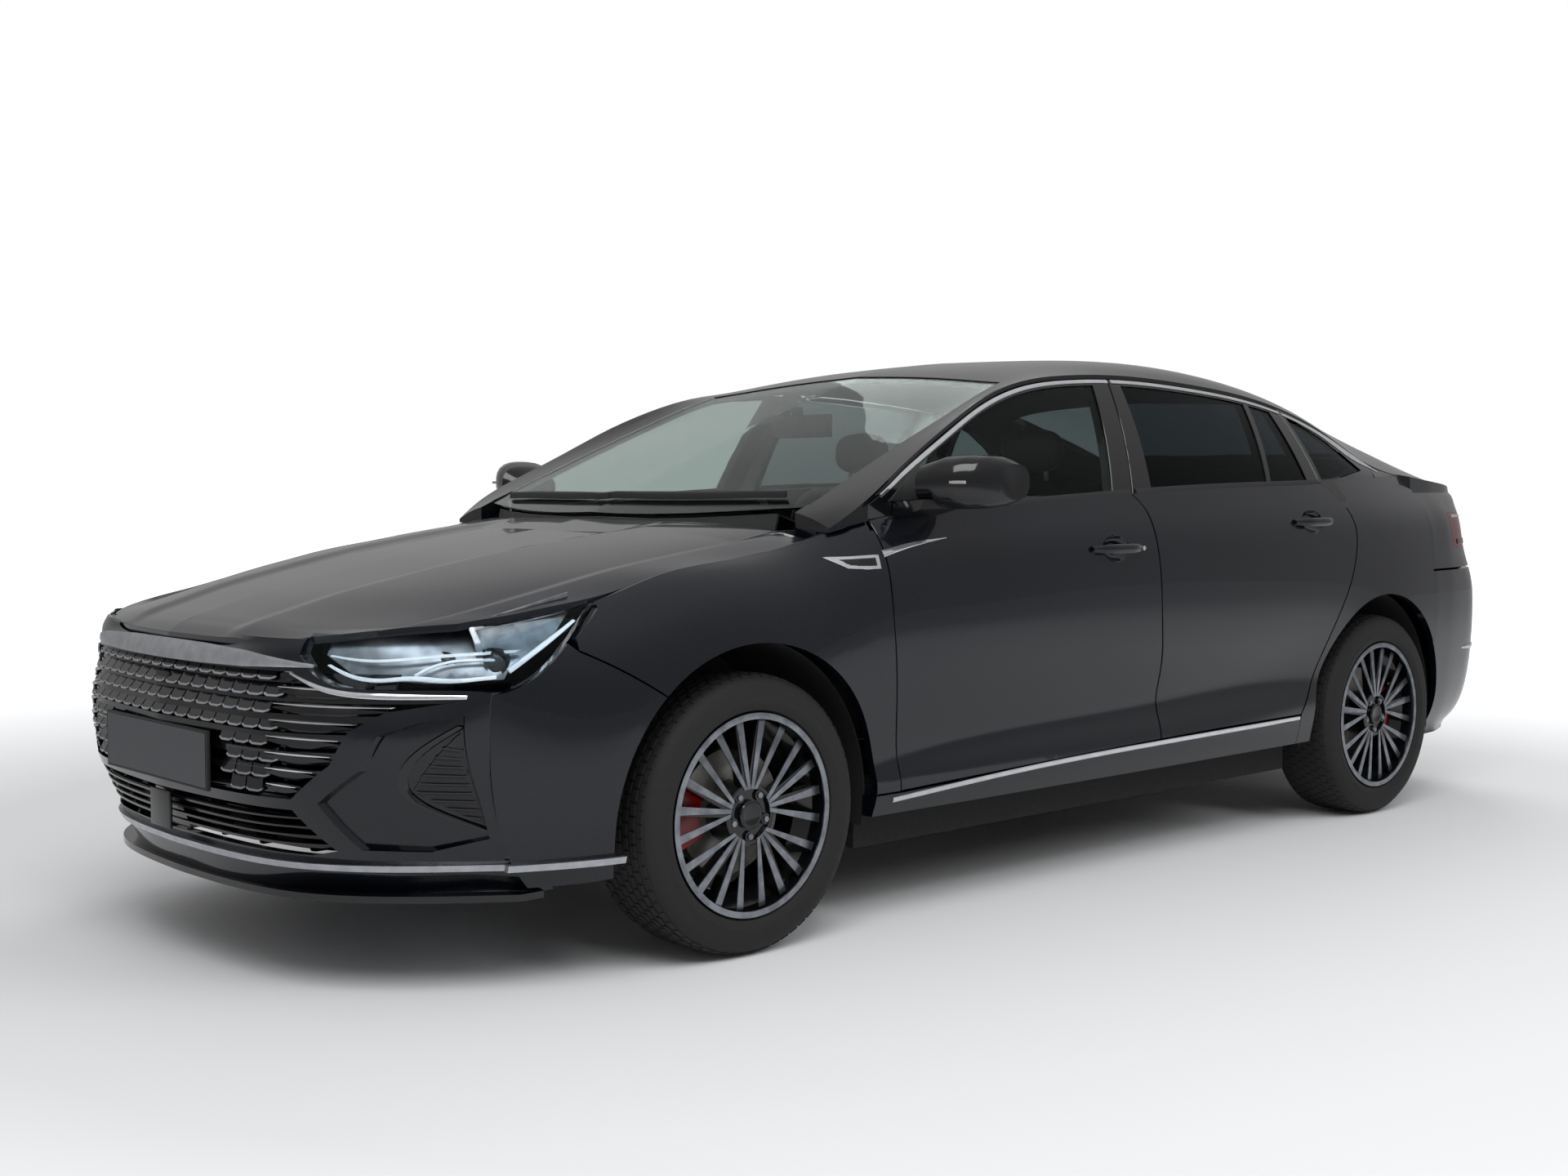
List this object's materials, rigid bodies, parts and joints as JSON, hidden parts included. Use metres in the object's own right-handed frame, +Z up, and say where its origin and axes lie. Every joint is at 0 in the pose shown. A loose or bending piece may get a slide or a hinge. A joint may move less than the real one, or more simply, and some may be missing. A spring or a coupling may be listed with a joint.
{
  "type": "sedan car",
  "caption": "Four-door sedan with hinged doors, bonnet and boot lid, steered front wheels, turning wheels and a furnished cabin.",
  "frame": {"origin": "on the ground, halfway along the car and on its middle plane", "axes": "+X forward, +Y to the car's left, +Z up"},
  "size_m": [4.7994, 2.13, 1.4888],
  "materials": {
    "paint": "gloss metallic",
    "underbody": "matte",
    "silver_trim": "satin",
    "lamp_clear": "gloss",
    "lamp_red": "gloss",
    "window_glass": "gloss",
    "suspension_steel": "matte",
    "cabin_plastic": "matte",
    "cabin_leather": "satin",
    "seat_leather": "satin",
    "engine_casting": "cast",
    "exhaust_steel": "satin",
    "wheel_alloy": "machined",
    "tyre_rubber": "matte"
  },
  "bodies": {
    "body": {"body_shell": "paint", "cowl": "cabin_plastic", "grille": "cabin_plastic", "cabin_mirror": "cabin_plastic", "floor_pan": "underbody", "wing_front_left": "paint", "wing_front_right": "paint", "front_bumper": "paint", "rear_bumper": "paint", "front_splitter": "silver_trim", "headlamps": "lamp_clear", "tail_lamps": "lamp_red", "struts": "suspension_steel", "windscreen": "window_glass", "rear_screen": "window_glass", "quarter_windows": "window_glass", "dashboard": "cabin_plastic", "front_seats": "seat_leather", "rear_bench": "seat_leather", "engine_block": "engine_casting", "exhaust": "exhaust_steel", "front_subframe": "suspension_steel", "rear_axle": "suspension_steel"},
    "bonnet": {"bonnet": "paint"},
    "boot_lid": {"boot_lid": "paint", "boot_lamp": "lamp_red"},
    "door_front_left": {"door_front_left": "paint", "glass_front_left": "window_glass"},
    "door_front_right": {"door_front_right": "paint", "glass_front_right": "window_glass"},
    "door_rear_left": {"door_rear_left": "paint", "glass_rear_left": "window_glass"},
    "door_rear_right": {"door_rear_right": "paint", "glass_rear_right": "window_glass"},
    "steer_left": {"knuckle_front_left": "suspension_steel"},
    "steer_right": {"knuckle_front_right": "suspension_steel"},
    "wheel_front_left": {"wheel_front_left": "wheel_alloy", "tyre_front_left": "tyre_rubber"},
    "wheel_front_right": {"wheel_front_right": "wheel_alloy", "tyre_front_right": "tyre_rubber"},
    "wheel_rear_left": {"wheel_rear_left": "wheel_alloy", "tyre_rear_left": "tyre_rubber"},
    "wheel_rear_right": {"wheel_rear_right": "wheel_alloy", "tyre_rear_right": "tyre_rubber"},
    "steering_wheel": {"steering_wheel": "cabin_leather"}
  },
  "joints": [
    {"name": "bonnet_hinge", "type": "hinge", "parent": "body", "child": "bonnet", "pos_m": [1.055, 0, 0.965], "axis": [0, -1, 0], "range_deg": [0, 50]},
    {"name": "boot_hinge", "type": "hinge", "parent": "body", "child": "boot_lid", "pos_m": [-1.951, 0, 1.175], "axis": [0, 1, 0], "range_deg": [0, 75]},
    {"name": "door_front_left_hinge", "type": "hinge", "parent": "body", "child": "door_front_left", "pos_m": [0.94, 0.905, 0.6], "axis": [0, 0, -1], "range_deg": [0, 66]},
    {"name": "door_front_right_hinge", "type": "hinge", "parent": "body", "child": "door_front_right", "pos_m": [0.94, -0.905, 0.6], "axis": [0, 0, 1], "range_deg": [0, 66]},
    {"name": "door_rear_left_hinge", "type": "hinge", "parent": "body", "child": "door_rear_left", "pos_m": [-0.1, 0.905, 0.6], "axis": [0, 0, -1], "range_deg": [0, 68]},
    {"name": "door_rear_right_hinge", "type": "hinge", "parent": "body", "child": "door_rear_right", "pos_m": [-0.1, -0.905, 0.6], "axis": [0, 0, 1], "range_deg": [0, 68]},
    {"name": "steer_left", "type": "hinge", "parent": "body", "child": "steer_left", "pos_m": [1.35, 0.735, 0.33], "axis": [0, 0, 1], "range_deg": [-35, 35]},
    {"name": "steer_right", "type": "hinge", "parent": "body", "child": "steer_right", "pos_m": [1.35, -0.735, 0.33], "axis": [0, 0, 1], "range_deg": [-35, 35]},
    {"name": "spin_front_left", "type": "hinge", "parent": "steer_left", "child": "wheel_front_left", "pos_m": [1.35, 0.7825, 0.33], "axis": [0, 1, 0], "continuous": true},
    {"name": "spin_front_right", "type": "hinge", "parent": "steer_right", "child": "wheel_front_right", "pos_m": [1.35, -0.7825, 0.33], "axis": [0, 1, 0], "continuous": true},
    {"name": "spin_rear_left", "type": "hinge", "parent": "body", "child": "wheel_rear_left", "pos_m": [-1.42, 0.7825, 0.33], "axis": [0, 1, 0], "continuous": true},
    {"name": "spin_rear_right", "type": "hinge", "parent": "body", "child": "wheel_rear_right", "pos_m": [-1.42, -0.7825, 0.33], "axis": [0, 1, 0], "continuous": true},
    {"name": "steering_wheel_turn", "type": "hinge", "parent": "body", "child": "steering_wheel", "pos_m": [0.56, 0.37, 0.905], "axis": [-0.9063, 0, 0.4226], "range_deg": [-460, 460]}
  ],
  "couplings": [
    {"joint": "steer_right", "follows": "steer_left", "ratio": 1},
    {"joint": "steering_wheel_turn", "follows": "steer_left", "ratio": 13}
  ]
}
